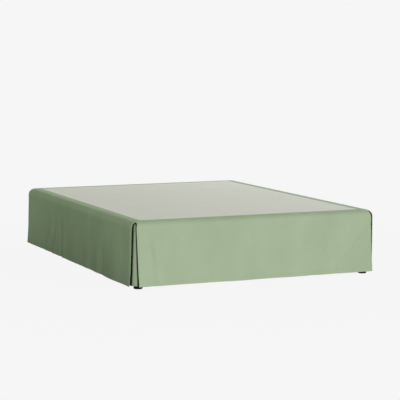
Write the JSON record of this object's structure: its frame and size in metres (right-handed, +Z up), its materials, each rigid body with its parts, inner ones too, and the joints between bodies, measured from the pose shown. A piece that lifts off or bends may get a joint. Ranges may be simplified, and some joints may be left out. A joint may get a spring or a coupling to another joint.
{
  "type": "bed skirt on bed base",
  "caption": "Tailored bed skirt with a kick pleat at each corner, draped over the rounded edges of a plain slatted bed base that stands on low glides.",
  "frame": {"origin": "on the floor, under the middle of the bed", "axes": "+X across the bed to the right seen from its foot end, +Y along the bed towards the head, +Z up; the foot end faces -Y"},
  "size_m": [1.5848, 2.099, 0.3875],
  "materials": {
    "skirt_cloth": "matte",
    "flap_cloth": "matte",
    "deck_cloth": "matte",
    "pine": "satin",
    "glide_black": "matte"
  },
  "bodies": {
    "root": {"deck": "deck_cloth", "panel_foot": "skirt_cloth", "panel_left": "skirt_cloth", "panel_right": "skirt_cloth", "panel_head": "skirt_cloth", "kick_foot_left": "flap_cloth", "kick_foot_right": "flap_cloth", "kick_head_right": "flap_cloth", "kick_head_left": "flap_cloth", "post_foot_left": "pine", "post_foot_right": "pine", "post_head_left": "pine", "post_head_right": "pine", "rail_foot": "pine", "rail_head": "pine", "rail_left": "pine", "rail_right": "pine", "ledger_left": "pine", "ledger_right": "pine", "centre_beam": "pine", "centre_leg_foot": "pine", "centre_leg_head": "pine", "slat_01": "pine", "slat_02": "pine", "slat_03": "pine", "slat_04": "pine", "slat_05": "pine", "slat_06": "pine", "slat_07": "pine", "slat_08": "pine", "slat_09": "pine", "slat_10": "pine", "slat_11": "pine", "glide_foot_left": "glide_black", "glide_foot_right": "glide_black", "glide_head_left": "glide_black", "glide_head_right": "glide_black"}
  },
  "joints": []
}
